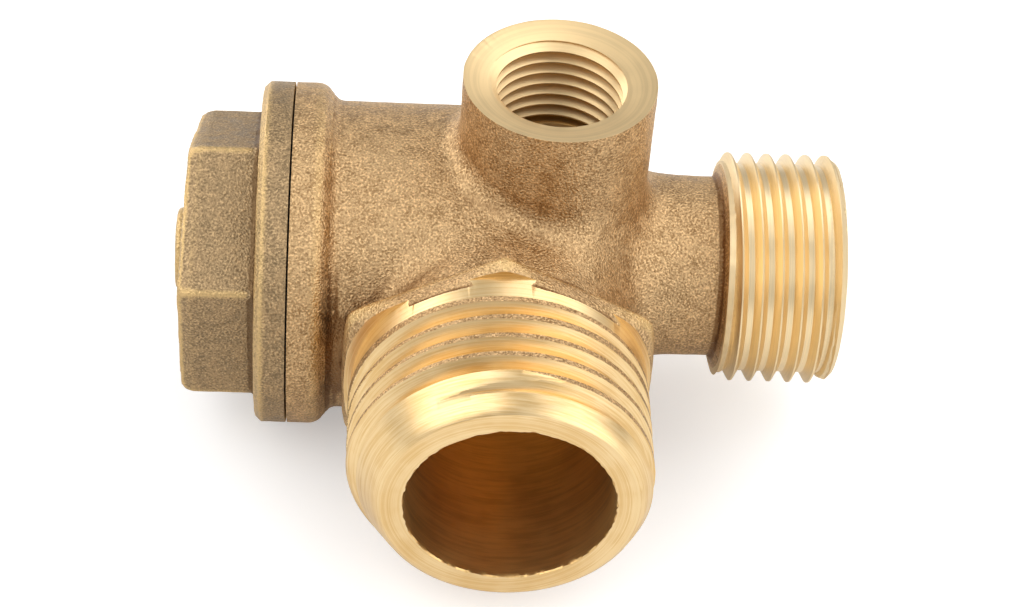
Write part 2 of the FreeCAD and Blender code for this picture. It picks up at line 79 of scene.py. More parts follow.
# Casting, in millimetres. A span is the middle and half the length along the shape's axis.
TANK_REACH = 25.7
TANK_BORE_SHIFT = 0.55
BOSS_OFFSET = 3.65
BOSS_SPAN = (8.7, 10.3)
STUB_SPAN = (6.7, 8.7)
HEXAGON_SPAN = (13.9, 1.45)
HEXAGON_SHIFT = 0.2
HEXAGON_CONE = 25.25
BLANK_SPAN = (21.0, 6.5)
BLANK_RADIUS, BLANK_SHIFT = 10.98, 0.08
CAST_EDGE, HEXAGON_EDGE = 0.3, 0.5
BOSS_FILLET, PORT_FILLET, HEXAGON_FILLET, BLANK_FILLET, CONE_FILLET = 1.6, 1.5, 0.8, 0.35, 0.6
BODY_BOX = (-17.1, -28.0, -13.9), (18.6, 14.2, 19.6)

# Cap. Its end leans by LEAN sideways, and its sides narrow by DRAFT from NARROWS on towards the end.
CAP_TURN = math.radians(5.0)
CAP_END, CAP_LEAN, CAP_CONE = -23.3, 0.043, 10.45
CAP_SPAN = (3.82, 3.82)
CAP_NARROWS, CAP_DRAFT = 0.9, 0.3
CAP_HEXAGON_EDGE, CAP_FLANGE_BEVEL, CAP_FILLET = 0.45, 0.45, 0.35
PIP_RADIUS, PIP_SPAN = 3.15, (-23.3, 1.125)
CAP_BOX = (-25.3, -13.9, -13.9), (-14.2, 13.9, 13.9)

# Threads: depth, crest width, where a crest is met at a quarter turn, and the tool's way out.
TANK_DEPTH, TANK_CREST, TANK_MET, TANK_RUN_OUT = 1.11, 0.24, 16.02, (16.0, 17.0)
INLET_DEPTH, INLET_CREST, INLET_MET = 0.8, 0.12, 17.7
BOSS_DEPTH, BOSS_CREST, BOSS_FIRST, BOSS_LAST = 0.68, 0.14, 9.6 + 0.3, 19.0

# Spring, and the way that the poppet slides.
SPRING_FLOOR = -19.875
SPRING_LENGTH = 16.075
CLOSED_TURN, GROUND_END = 0.74, 0.2

# Outlines of turned shapes as (way along the axis, radius).
TANK_ENVELOPE = [
    (13.0, 0), (13.0, 12.5), (20.26, 12.5), (24.9, 9.82), (25.5, 9.45), (25.7, 9.15), (25.7, 0),
]
TANK_LAND = [
    (12.8, 0), (12.8, 10.9), (13.8, 10.84), (15.78, 10.56), (15.88, 12.8), (29, 12.8), (29, 0),
]
TANK_TURNING = [(13.8, 0), (13.8, 17), (30, 17), (30, 0)]
TANK_BORING = [
    (7.0, 0), (7.0, 7.5), (24.8, 7.5), (25.3, 7.5), (25.6, 7.51), (25.7, 7.56), (27, 7.6), (27, 0),
]
INLET_ENVELOPE = [
    (15.8, 0), (15.8, 6.6), (16.9, 6.8), (16.95, 8.1), (17.35, 9.3), (24.75, 9.3), (25.8, 8.25), (25.8, 0),
]
INLET_RUN_OUT = [
    (15.8, 0), (15.8, 6.6), (16.9, 6.8), (16.95, 8.1), (17.4, 8.2), (17.8, 7.95), (17.8, 0),
]
INLET_BURR = [(25.0, 0), (25.0, 8.1), (25.15, 8.35), (25.5, 8.45), (25.75, 8.25), (25.75, 0)]
NECK_FACING = [(17.0, 0), (17.0, 9.5), (20, 9.5), (20, 0)]
BOSS_FACING = [(17.8, 0), (17.8, 9), (22, 9), (22, 0)]
BOSS_BORING = [
    (1.0, 0), (1.0, 1.5), (9.23, 1.5), (9.9, 4.65), (17.15, 4.65), (17.27, 5.4), (17.8, 7.0),
    (18.1, 7.9), (22, 7.9), (22, 0),
]
BARREL_BORING = [
    (-22, 0), (-22, 16), (-15.625, 16), (-15.625, 11.5), (-15.475, 11.5), (-15.475, 9.6), (-8.325, 9.6),
    (-8.325, 9.0), (0.6, 9.0), (0.6, 5.5), (-0.4, 4.7), (-0.4, 4.0), (19.8, 4.0), (19.8, 5.1),
    (24.6, 5.1), (25.8, 6.3), (28, 6.3), (28, 0),
]
CAP_FACING = [(-15.775, 0), (-15.775, 15), (-13, 15), (-13, 0)]
CAP_SKIRT = [
    (-18.0, 0), (-18.0, 9.0), (-15.775, 9.55), (-9.175, 9.55), (-9.175, 8.6), (-7.575, 8.6), (-7.575, 0),
]
CAP_BORING = [
    (-19.875, 0), (-19.875, 4.6), (-19.075, 4.6), (-19.075, 6.0), (-6.0, 6.0), (-6.0, 0),
]

# Scales of the paints' noise, per millimetre.
GRAIN, FACET, BLOTCH, STAIN = 5.6, 6.5, 0.9, 0.22

# Camera: place in millimetres, turn in degrees, focal length and picture width in pixels.
CAMERA_PLACE = (-10.596, -155.273, 141.623)
CAMERA_AZIMUTH, CAMERA_ELEVATION, CAMERA_ROLL = -4.449, 43.209, 4.865
FOCAL_LENGTH, PHOTO_WIDTH, SENSOR = 2736.5, 1024, 36.0

# Lamps: name, place and side in metres, power in watts.
LAMPS = (
    ("key_light", (-0.50, -0.26, 0.58), 0.88, 4.0),
    ("top_light", (0.42, 0.24, 0.60), 0.85, 3.3),
    ("fill_light", (0.55, -0.45, 0.34), 0.65, 2.3),
    ("back_light", (-0.50, 0.50, 0.26), 0.55, 2.0),
)
WHITE = (1.0, 1.0, 1.0, 1.0)
WORLD_GREY = (0.50, 0.50, 0.50, 1.0)
FLOOR_GREY = (0.8, 0.8, 0.8, 1.0)
FLOOR_GLOW = 0.35
FLOOR_HALF = 1500.0

# Multipliers of the lattice's hash, and a shift that keeps its coordinates positive.
HASH_X, HASH_Y, HASH_Z, HASH_SEED = 73856093, 19349663, 83492791, 2654435761
HASH_MIX = 2246822519, 3266489917
LATTICE_SHIFT = 4096.0


# Settings

def length(name, description, millimetres):
    return bpy.props.FloatProperty(
        name=name, description=description, default=millimetres * MM, unit="LENGTH", precision=5
    )


def colour(name, description, value):
    return bpy.props.FloatVectorProperty(
        name=name, description=description, default=value, size=3, subtype="COLOR", min=0.0, max=1.0
    )


class CastingSettings(bpy.types.PropertyGroup):
    """Sizes of the cast body and cap."""

    barrel_radius: length("Barrel radius", "Radius of the barrel behind its flange", 11.7)
    flange_radius: length("Flange radius", "Radius of the body's and the cap's flanges", 13.0)
    neck_radius: length("Neck radius", "Radius of the neck in front of the inlet thread", 6.9)
    boss_radius: length("Boss radius", "Radius of the unloader boss", 7.1)
    stub_radius: length("Stub radius", "Radius of the tank port's stub behind its hexagon", 9.6)
    hexagon_width: length("Tank hexagon's width", "From one upright side to the other", 22.7)
    hexagon_height: length("Tank hexagon's height", "From its top corner to its bottom corner", 23.7)
    hexagon_side: length("Tank hexagon's side", "Length of its upright sides", 11.8)
    cap_flats: length("Cap hexagon", "Width of the cap's hexagon across its flats", 19.2)
    cell: length("Grid cell", "Cell size of the grid that the cast skin is taken from", 0.27)
    grain: length("Grain height", "Height of the cast skin's uneven surface", 0.022)


class ThreadSettings(bpy.types.PropertyGroup):
    """Sizes of the three threads."""

    tank_radius: length("Tank thread radius", "Radius over the crests of the tank thread", 11.05)
    tank_pitch: length("Tank thread pitch", "Distance from crest to crest", 1.814)
    inlet_radius: length("Inlet thread radius", "Radius over the crests of the inlet thread", 8.8)
    inlet_pitch: length("Inlet thread pitch", "Distance from crest to crest", 1.5)
    boss_radius: length("Boss thread radius", "Radius at the bottom of the boss's thread", 5.3)
    boss_pitch: length("Boss thread pitch", "Distance from crest to crest", 1.0)


class SpringSettings(bpy.types.PropertyGroup):
    """Sizes of the return spring."""

    radius: length("Coil radius", "Radius of the coil's centre line", 3.85)
    wire: length("Wire radius", "Radius of the wire", 0.35)
    turns: bpy.props.IntProperty(
        name="Active turns", description="Turns between the closed ends", default=6, min=2
    )


class FinishSettings(bpy.types.PropertyGroup):
    """Colours of the metals and rubbers."""

    skin: colour("Cast skin", "Shot-blasted brass of the body", (0.67, 0.455, 0.238))
    skin_deep: colour("Cast skin hollows", "Darker brown between the grains", (0.33, 0.195, 0.085))
    worn: colour("Worn edges", "Golden brass where the skin is rubbed off", (0.80, 0.55, 0.24))
    cap_skin: colour("Cap skin", "Duller brass of the cap", (0.47, 0.325, 0.175))
    turned: colour("Turned brass", "Freshly cut brass", (0.90, 0.67, 0.36))
    turned_deep: colour("Turned brass, deep", "Cut brass between the tool lines", (0.76, 0.50, 0.21))
    inlet: colour("Inlet thread", "Paler cut brass of the inlet thread", (0.94, 0.74, 0.44))
    bored: colour("Bored brass", "Amber brass inside the tank port's bore", (0.86, 0.57, 0.24))
    steel: colour("Spring steel", "Drawn stainless wire", (0.56, 0.55, 0.53))
    rubber: colour("Rubber", "Nitrile rubber of the seal and gasket", (0.03, 0.03, 0.032))


# Numbers

def mm(value):
    return value / MM


def lattice(cells, seed):
    """Repeatable random numbers from -1 to 1 for whole-number points: mixed and hashed coordinates."""
    x, y, z = (cells[..., i].astype(np.uint64) for i in range(3))
    h = x * np.uint64(HASH_X) ^ y * np.uint64(HASH_Y) ^ z * np.uint64(HASH_Z) ^ np.uint64(seed * HASH_SEED)
    h = (h ^ (h >> np.uint64(15))) * np.uint64(HASH_MIX[0])
    h = (h ^ (h >> np.uint64(13))) * np.uint64(HASH_MIX[1])
    return ((h ^ (h >> np.uint64(16))) & np.uint64(0xFFFFFF)).astype(float) / 0x7FFFFF - 1.0


def uneven(points, size, seed):
    """Smooth noise: lattice numbers size apart, blended by 3t^2 - 2t^3 in each direction."""
    scaled = points / size + LATTICE_SHIFT
    cell = np.floor(scaled)
    t = scaled - cell
    t = t * t * (3 - 2 * t)
    cell = cell.astype(np.int64)
    total = np.zeros(points.shape[:-1])
    for corner in np.ndindex(2, 2, 2):
        weight = np.prod(np.where(np.array(corner) == 1, t, 1 - t), axis=-1)
        total += weight * lattice(cell + np.array(corner), seed)
    return total


def clamped_spline(poles, count):
    """Cubic B-spline from the first pole to the last, as sums of the Cox-de Boor basis over even knots."""
    poles = np.array(poles, float)
    inner = np.linspace(0, 1, len(poles) - 2)
    knots = np.concatenate([[0] * 3, inner, [1] * 3])
    t = np.linspace(0, 1 - 1e-9, count)[:, None]
    basis = ((t >= knots[:-1]) & (t < knots[1:])).astype(float)
    for k in range(1, 4):
        up = knots[k:-1] - knots[:-k - 1]
        down = knots[k + 1:] - knots[1:-k]
        rising = (t - knots[:-k - 1]) / np.where(up > 0, up, 1) * (up > 0)
        falling = (knots[k + 1:] - t) / np.where(down > 0, down, 1) * (down > 0)
        basis = rising * basis[:, :-1] + falling * basis[:, 1:]
    return basis @ poles


def quarter(centre, radius, start, count=7):
    """Points on a quarter circle from the start angle on, turning clockwise."""
    angle = start - np.linspace(0, math.pi / 2, count)
    return [(centre[0] + radius * math.cos(a), centre[1] + radius * math.sin(a)) for a in angle]


# Solids as distance fields, for the castings

class Outline:
    """Signed distance to a closed outline in the half-plane of an axis, looked up in a table.

    The table holds, for each point of a fine grid, the least distance to the outline's edges, and its
    sign is minus where a ray crosses the outline an odd number of times.
    """

    def __init__(self, points, step=0.1, margin=3.0):
        start = np.array(points, float)
        end = np.roll(start, -1, axis=0)
        self.low = start.min(0) - margin
        self.step = step
        size = np.ceil((start.max(0) + margin - self.low) / step).astype(int) + 1
        grid = np.stack(np.meshgrid(*(np.arange(n) for n in size), indexing="ij"), -1) * step + self.low
        nearest = np.full(size, np.inf)
        inside = np.zeros(size, bool)
        for a, b in zip(start, end):
            if a[1] == b[1] == 0:
                continue
            along = b - a
            t = np.clip(((grid - a) @ along) / max(along @ along, 1e-12), 0, 1)
            gap = grid - a - t[..., None] * along
            nearest = np.minimum(nearest, (gap ** 2).sum(-1))
            crosses = (a[1] > grid[..., 1]) != (b[1] > grid[..., 1])
            rise = along[1] if along[1] != 0 else 1.0
            inside ^= crosses & (grid[..., 0] < a[0] + (grid[..., 1] - a[1]) / rise * along[0])
        self.table = np.sqrt(nearest) * np.where(inside, -1, 1)

    def __call__(self, along, radius):
        """The table's value at the points, blended between its four nearest entries."""
        place = (np.stack([along, radius], -1) - self.low) / self.step
        place = np.clip(place, 0, np.array(self.table.shape) - 1.001)
        cell = place.astype(int)
        t = place - cell
        i, j = cell[..., 0], cell[..., 1]
        low = self.table[i, j] * (1 - t[..., 1]) + self.table[i, j + 1] * t[..., 1]
        high = self.table[i + 1, j] * (1 - t[..., 1]) + self.table[i + 1, j + 1] * t[..., 1]
        return low * (1 - t[..., 0]) + high * t[..., 0]


def prism(across, along, span, rounding):
    """Distance to a prism with rounded edges: its section's distance joined with that to its ends."""
    u = across + rounding
    v = np.abs(along - span[0]) - span[1] + rounding
    return np.minimum(np.maximum(u, v), 0) + np.hypot(np.maximum(u, 0), np.maximum(v, 0)) - rounding


def hexagon(width, height, side, rounding):
    """Distance in a plane to a hexagon with two corners on the b axis and two sides along it.

    Its half above the a axis is an outline drawn smaller by the rounding, and its distance is less by it.
    """
    half, top, corner = width / 2, height / 2, side / 2
    length = math.hypot(half, top - corner)
    run, rise = (top - corner) / length, half / length
    low = half - rounding
    inner_top = top - rounding / rise
    inner_corner = (rise * inner_top - run * low) / rise
    outline = Outline([(-low, 0), (-low, inner_corner), (0, inner_top), (low, inner_corner), (low, 0)])
    return lambda a, b: outline(a, np.abs(b)) - rounding


def filleted(a, b, radius):
    """Union of two solids with a round fillet: the radius less the length of both distances' shortfall."""
    u = np.maximum(radius - a, 0)
    v = np.maximum(radius - b, 0)
    return np.maximum(radius, np.minimum(a, b)) - np.hypot(u, v)


def skin_of(field, low, high, cell):
    """Surface Nets: one point in each cell that the surface passes through, the mean of its crossings.

    Each grid edge that changes sign gives the quad that joins the four cells round it. The points are then
    moved along the field's slope onto the surface itself. Returns points, quads and outward directions.
    """
    axes = [np.arange(a, b + cell, cell) for a, b in zip(low, high)]
    grid = np.stack(np.meshgrid(*axes, indexing="ij"), -1)
    value = field(grid)
    inside = value < 0
    shape = np.array(value.shape)
    strides = np.array([shape[1] * shape[2], shape[2], 1])
    total = np.zeros((value.size, 3))
    count = np.zeros(value.size)
    quads = []
    for axis in range(3):
        ahead = np.roll(value, -1, axis)
        changes = inside != np.roll(inside, -1, axis)
        for other in range(3):
            edge = [slice(None)] * 3
            edge[other] = -1
            changes[tuple(edge)] = False
            edge[other] = 0
            changes[tuple(edge)] = False
        at = np.argwhere(changes)
        v0 = value[changes]
        share = v0 / (v0 - ahead[changes])
        crossing = np.array(low) + at * cell
        crossing[:, axis] += share * cell
        home = at @ strides
        b, c = (axis + 1) % 3, (axis + 2) % 3
        ring = [home, home - strides[b], home - strides[b] - strides[c], home - strides[c]]
        for cells in ring:
            for k in range(3):
                total[:, k] += np.bincount(cells, crossing[:, k], value.size)
            count += np.bincount(cells, minlength=value.size)
        quad = np.stack(ring, -1)
        flip = ~inside[changes]
        quad[flip] = quad[flip][:, ::-1]
        quads.append(quad)
    used = count > 0
    number = np.cumsum(used) - 1
    points = total[used] / count[used][:, None]
    quads = number[np.concatenate(quads)]
    for _ in range(3):
        slope = slope_of(field, points)
        points = points - field(points)[:, None] * slope
    return points, quads, slope_of(field, points)


def slope_of(field, points, reach=0.03):
    """Unit direction of the field's steepest rise, from differences across each point."""
    slope = np.empty_like(points)
    for k in range(3):
        shift = np.zeros(3)
        shift[k] = reach
        slope[:, k] = field(points + shift) - field(points - shift)
    return slope / np.maximum(np.linalg.norm(slope, axis=1, keepdims=True), 1e-9)


def bend_of(field, points, reach=0.5):
    """How sharply the surface bends, per millimetre: the field's second differences in three directions."""
    total = -6 * field(points)
    for k in range(3):
        shift = np.zeros(3)
        shift[k] = reach
        total = total + field(points + shift) + field(points - shift)
    return total / reach ** 2


# Meshes

def new_piece(name, points, faces, material):
    """A mesh object from millimetre points and faces, all of one corner count or a list of such arrays."""
    groups = faces if isinstance(faces, list) else [faces]
    groups = [g for g in groups if len(g)]
    mesh = bpy.data.meshes.new(name)
    mesh.vertices.add(len(points))
    place = (np.array(points) + [0.0, TANK_REACH, 0.0]) * MM
    mesh.vertices.foreach_set("co", place.astype(np.float32).ravel())
    loops = np.concatenate([g.ravel() for g in groups])
    sizes = np.concatenate([np.full(len(g), g.shape[1]) for g in groups])
    mesh.loops.add(len(loops))
    mesh.loops.foreach_set("vertex_index", loops.astype(np.int32))
    mesh.polygons.add(len(sizes))
    mesh.polygons.foreach_set("loop_start", (np.cumsum(sizes) - sizes).astype(np.int32))
    mesh.update(calc_edges=True)
    mesh.materials.append(material)
    piece = bpy.data.objects.new(name, mesh)
    bpy.context.scene.collection.objects.link(piece)
    return piece


class Axis:
    """An axis with two directions across it, all right-handed, that turned shapes are carried round."""

    def __init__(self, origin, along, across, up):
        self.origin, self.along = np.array(origin, float), np.array(along, float)
        self.across, self.up = np.array(across, float), np.array(up, float)

    def points(self, along, radius, angle):
        """Origin plus the way along the axis plus the radius in the direction of the angle."""
        along, radius, angle = np.broadcast_arrays(along, radius, angle)
        out = self.origin + along[..., None] * self.along
        out = out + (radius * np.cos(angle))[..., None] * self.across
        return out + (radius * np.sin(angle))[..., None] * self.up


BARREL = Axis((0, 0, 0), (1, 0, 0), (0, 1, 0), (0, 0, 1))
TANK = Axis((0, 0, 0), (0, -1, 0), (1, 0, 0), (0, 0, 1))
BOSS = Axis((BOSS_OFFSET, 0, 0), (0, 0, 1), (1, 0, 0), (0, 1, 0))
# The tank port was faced and bored a little beside the axis of its thread.
TANK_BORE = Axis((TANK_BORE_SHIFT, 0, 0), (0, -1, 0), (1, 0, 0), (0, 0, 1))


def tube(rows, columns):
    """Quads between the closed rows of a tube, and fans to two more points that close its ends."""
    row, column = np.meshgrid(np.arange(rows - 1), np.arange(columns), indexing="ij")
    here = row * columns + column
    beside = row * columns + (column + 1) % columns
    quads = np.stack([here, beside, beside + columns, here + columns], -1).reshape(-1, 4)
    first = np.arange(columns)
    last = first + (rows - 1) * columns
    low = np.stack([np.full(columns, rows * columns), np.roll(first, -1), first], -1)
    high = np.stack([np.full(columns, rows * columns + 1), last, np.roll(last, -1)], -1)
    return [quads, np.concatenate([low, high])]


def turned(name, axis, outline, material, segments=160, ragged=None):
    """A lathe shape: the outline of (along, radius) points carried round the axis.

    The outline starts and ends on the axis. ragged gives for some of its points how far noise moves their
    radius, as nicks in an edge.
    """
    outline = np.array(outline, float)
    along, radius = outline[1:-1, 0][:, None], outline[1:-1, 1][:, None]
    angle = np.arange(segments)[None, :] * TURN / segments
    radius = np.broadcast_to(radius, (len(outline) - 2, segments)).copy()
    for row, amount in (ragged or {}).items():
        where = axis.points(along[row - 1], radius[row - 1], angle[0])
        noise = uneven(where, 0.45, row) * 0.6 + np.maximum(uneven(where, 0.22, row + 7) - 0.35, 0) * 1.6
        radius[row - 1] += noise * amount
    body = axis.points(along, radius, angle).reshape(-1, 3)
    ends = axis.origin + outline[[0, -1], 0][:, None] * axis.along
    return new_piece(name, np.concatenate([body, ends]), tube(len(outline) - 2, segments), material)


def threaded(name, axis, section, pitch, first, last, material, segments=160, run_out=None):
    """A threaded rod: a grid over the angle and the rows of the thread's section.

    A row's place is its share of the pitch plus its whole turns. Its points lie along the axis at the first
    crest plus the pitch times (the place plus the angle's share of a turn), at the section's radius. Where
    the tool was drawn out, the grooves rise from full depth at run_out's second place to nothing at its
    first. At the seam each row meets the row one pitch on, and both ends close on the axis.
    """
    section = np.array(section, float)
    rows = len(section)
    turns = int(math.ceil((last - first) / pitch)) + 1
    count = turns * rows + 1
    index = np.arange(count)
    place = section[index % rows, 0] + index // rows
    angle = np.arange(segments) * TURN / segments
    along = first + pitch * (place[:, None] + angle[None, :] / TURN)
    radius = np.broadcast_to(section[index % rows, 1][:, None], along.shape).copy()
    if run_out is not None:
        turn = np.floor(place - section[0, 0])[:, None] + 0.5 + angle[None, :] / TURN
        share = np.clip((first + pitch * turn - run_out[0]) / (run_out[1] - run_out[0]), 0, 1)
        crest = section[:, 1].max()
        radius = np.minimum(crest, radius + (crest - section[:, 1].min()) * (1 - share))
    points = axis.points(along, radius, angle[None, :]).reshape(-1, 3)
    row, column = np.meshgrid(np.arange(count - 1), np.arange(segments - 1), indexing="ij")
    here = (row * segments + column).reshape(-1)
    quads = np.stack([here, here + 1, here + 1 + segments, here + segments], -1)
    seam_row = np.arange(count - 1 - rows)
    before = seam_row * segments + segments - 1
    after = (seam_row + rows) * segments
    seam = np.stack([before, after, after + segments, before + segments], -1)
    start_rim = np.concatenate([np.arange(segments), np.arange(rows, 0, -1) * segments])
    top = (count - 1) * segments
    climb = (np.arange(count - 1 - rows, count - 1) * segments) + segments - 1
    end_rim = np.concatenate([top + np.arange(segments), climb[::-1]])
    middles = axis.origin + np.array([[first], [first + pitch * turns]]) * axis.along
    low = np.stack([np.full(len(start_rim), len(points)), np.roll(start_rim, -1), start_rim], -1)
    high = np.stack([np.full(len(end_rim), len(points) + 1), end_rim, np.roll(end_rim, -1)], -1)
    faces = [np.concatenate([quads, seam]), np.concatenate([low, high])]
    return new_piece(name, np.concatenate([points, middles]), faces, material)


def carve(piece, tool, operation):
    """Cuts the tool from the piece or joins it on, with the tool's material on its own faces."""
    modifier = piece.modifiers.new("carve", "BOOLEAN")
    modifier.solver = "MANIFOLD"
    modifier.operation = operation
    modifier.material_mode = "TRANSFER"
    modifier.object = tool
    graph = bpy.context.evaluated_depsgraph_get()
    mesh = bpy.data.meshes.new_from_object(piece.evaluated_get(graph))
    if len(mesh.polygons) == 0:
        raise RuntimeError(f"{operation} with {tool.name} left nothing of {piece.name}")
    piece.modifiers.clear()
    piece.data = mesh
    bpy.data.objects.remove(tool)


# Shader nodes

class Number:
    """A number that varies over a surface: sums and products of it add Math nodes."""

    def __init__(self, paint, socket):
        self.paint, self.socket = paint, socket

    def __add__(self, other):
        return self.paint.math("ADD", self, other)

    __radd__ = __add__

    def __sub__(self, other):
        return self.paint.math("SUBTRACT", self, other)

    def __rsub__(self, other):
        return self.paint.math("SUBTRACT", other, self)

    def __mul__(self, other):
        return self.paint.math("MULTIPLY", self, other)


class Paint:
    """The node tree of a material or a world, emptied first."""

    def __init__(self, holder):
        self.holder = holder
        holder.use_nodes = True
        self.tree = holder.node_tree
        self.tree.nodes.clear()

    def node(self, kind, settings=None, inputs=None):
        """A node of the kind, its settings made first and then its sockets' values or links."""
        made = self.tree.nodes.new("ShaderNode" + kind)
        for key, value in (settings or {}).items():
            setattr(made, key, value)
        for key, value in (inputs or {}).items():
            socket = made.inputs[key]
            if isinstance(value, Number):
                value = value.socket
            if isinstance(value, bpy.types.NodeSocket):
                self.tree.links.new(value, socket)
            else:
                socket.default_value = value
        return made

    def math(self, operation, a, b=0.0):
        """One sum, product or root."""
        made = self.node("Math", {"operation": operation}, {0: a, 1: b})
        return Number(self, made.outputs[0])

    def between(self, value, low, high):
        """0 below low, 1 above high and smooth between them."""
        made = self.node("MapRange", {"interpolation_type": "SMOOTHSTEP"}, {
            "Value": value, "From Min": low, "From Max": high,
        })
        return Number(self, made.outputs["Result"])

    def mix(self, factor, a, b):
        """A colour between a and b."""
        made = self.node("Mix", {"data_type": "RGBA"}, {0: factor, 6: a, 7: b})
        return made.outputs[2]

    def place(self):
        """The point in millimetres about the crossing of the axes."""
        at = self.node("TexCoord").outputs["Object"]
        crossing = (0.0, TANK_REACH * MM, 0.0)
        shifted = self.node("VectorMath", {"operation": "SUBTRACT"}, {0: at, 1: crossing}).outputs[0]
        return self.node("VectorMath", {"operation": "SCALE"}, {0: shifted, "Scale": 1 / MM}).outputs[0]

    def parts(self, vector):
        """The three numbers of a vector."""
        made = self.node("SeparateXYZ", None, {0: vector})
        return [Number(self, socket) for socket in made.outputs]

    def noise(self, vector, scale, detail=2.0, roughness=0.5):
        """Noise about 0.5."""
        made = self.node("TexNoise", None, {
            "Vector": vector, "Scale": scale, "Detail": detail, "Roughness": roughness,
        })
        return Number(self, made.outputs[0])

    def attribute(self, name):
        """A number kept on the mesh's points."""
        return Number(self, self.node("Attribute", {"attribute_name": name}).outputs["Fac"])

    def bump(self, height, strength, distance):
        """A normal bent by the height, with the distance in millimetres."""
        inputs = {"Height": height, "Strength": strength, "Distance": distance * MM}
        return self.node("Bump", None, inputs).outputs[0]

    def metal(self, base, roughness, normal, constants=None):
        """Ends the tree in a metal surface. Constants are set on its own sockets."""
        inputs = {"Base Color": base, "Roughness": roughness, "Normal": normal, "Metallic": 1.0}
        inputs.update(constants or {})
        surface = self.node("BsdfPrincipled", None, inputs)
        self.node("OutputMaterial", None, {"Surface": surface.outputs[0]})
        return self.holder


def new_paint(name):
    return Paint(bpy.data.materials.new(name))


def scaled(value, *factors):
    """The colour times one factor, or times a factor for each of its parts, at most 1."""
    factors = factors * 3 if len(factors) == 1 else factors
    return [min(1.0, part * factor) for part, factor in zip(value, factors)]


def rgba(value, *factors):
    return (*scaled(value, *(factors or (1.0,))), 1.0)


def cast_brass(name, light, deep, gold):
    """Shot-blasted skin: fine grains, painted glints on bright facets, dark facets, blotches and dull
    stains.

    Where the surface bends outward it is worn golden. Where it bends inward it is painted darker, as dirt
    and painted shade, and most of all in the narrow recess behind the tank port's hexagon.
    """
    paint = new_paint(name)
    at = paint.place()
    grain = paint.noise(at, GRAIN, 2.0, 0.65)
    blotch = paint.noise(at, BLOTCH, 3.0, 0.6)
    stain = paint.noise(at, STAIN, 2.0, 0.5)
    facet = paint.noise(at, FACET, 0.0)
    bend = paint.attribute("bend")
    out = 0.0 - paint.parts(at)[1]
    colour_here = paint.mix(paint.between(grain * 0.6 + blotch * 0.4, 0.34, 0.64), rgba(deep), rgba(light))
    colour_here = paint.mix(paint.between(stain, 0.48, 0.72) * 0.55, colour_here, rgba(light, 0.82))
    # Painted glints: random facets painted half again as light as the skin.
    painted_glint = paint.between(facet, 0.60, 0.72)
    colour_here = paint.mix(painted_glint * 0.55, colour_here, rgba(light, 1.5))
    pit = 1.0 - paint.between(facet, 0.30, 0.40)
    colour_here = paint.mix(pit * 0.5, colour_here, rgba(deep, 0.7))
    worn = paint.between(bend + grain * 1.6, 0.9, 2.8)
    colour_here = paint.mix(worn * 0.6, colour_here, rgba(gold))
    # Dirt and painted shade: darker where the surface bends inward, most of all in the recess behind the
    # tank port's hexagon.
    shaded_recess = paint.between(out, 8.8, 11.0) - paint.between(out, 12.3, 12.7)
    dirt_and_shade = paint.between(blotch * 1.2 - bend * (1.0 + shaded_recess * 1.5), 1.0, 2.0)
    colour_here = paint.mix(dirt_and_shade * 0.8, colour_here, rgba(deep, 0.62, 0.5, 0.4))
    roughness = 0.42 + paint.between(blotch, 0.3, 0.7) * 0.14 - worn * 0.08
    return paint.metal(colour_here, roughness, paint.bump(grain + facet * 0.8, 0.7, 0.10))


def turned_brass(name, axis, light, deep, rough, lines, relief=0.35):
    """Cut brass: tool lines run round the axis, since the noise is read from radius and way along.

    The boss's bore is painted darker with depth as painted shade, the inlet is torn at its collar and its
    end, and on the tank port the crests next to the hexagon still carry the casting's dark skin.
    """
    paint = new_paint(name)
    at = paint.place()
    x, y, z = paint.parts(at)
    if axis == "tank":
        along, a, b = 0.0 - y, x, z
    elif axis == "inlet":
        along, a, b = x, y, z
    else:
        along, a, b = z, x - BOSS_OFFSET, y
    radius = paint.math("SQRT", a * a + b * b)
    slow = paint.noise(at, 0.35, 2.0)
    section = paint.node("CombineXYZ", None, {0: along * lines, 1: radius * lines, 2: slow * 1.2})
    height = line = paint.noise(section.outputs[0], 1.0, 3.0, 0.6)
    colour_here = paint.mix(paint.between(line * 0.7 + slow * 0.3, 0.34, 0.62), rgba(deep), rgba(light))
    roughness = rough + slow * 0.12 + line * 0.06
    # Painted shade: the boss's bore is painted darker towards its bottom.
    if axis == "boss":
        colour_here = paint.mix(paint.between(along, 9.6, 12.4), rgba(deep, 0.75), colour_here)
    if axis == "inlet":
        speck = paint.noise(at, 4.5, 3.0, 0.7)
        at_end = paint.between(along + speck * 0.9, 25.0, 25.4)
        torn = at_end + 1.0 - paint.between(along - speck * 0.5, 17.1, 17.4)
        colour_here = paint.mix(torn * 0.5, colour_here, rgba(light, 0.8))
        roughness = roughness + torn * 0.15
        height = line + torn * speck * 2.0
    if axis == "tank":
        speck = paint.noise(at, 5.0, 3.0, 0.7)
        crest = paint.between(radius + speck * 0.30, 11.12, 11.20)
        back = 1.0 - paint.between(along + speck * 2.0, 20.0, 23.5)
        skin = crest * back * paint.between(along + speck * 0.2, 15.9, 16.0)
        colour_here = paint.mix(skin * 0.8, colour_here, rgba(deep, 0.35))
        roughness = roughness + skin * 0.3
        height = line + skin * speck * 3.0
    return paint.metal(colour_here, roughness, paint.bump(height, relief, 0.035))


def drawn_steel(name, value):
    """Drawn wire: short drawing marks and an uneven sheen."""
    paint = new_paint(name)
    marks = paint.noise(paint.place(), 3.0, 3.0, 0.6)
    colour_here = paint.mix(paint.between(marks, 0.3, 0.7), rgba(value, 0.8), rgba(value))
    return paint.metal(colour_here, 0.28 + marks * 0.12, paint.bump(marks, 0.2, 0.02))


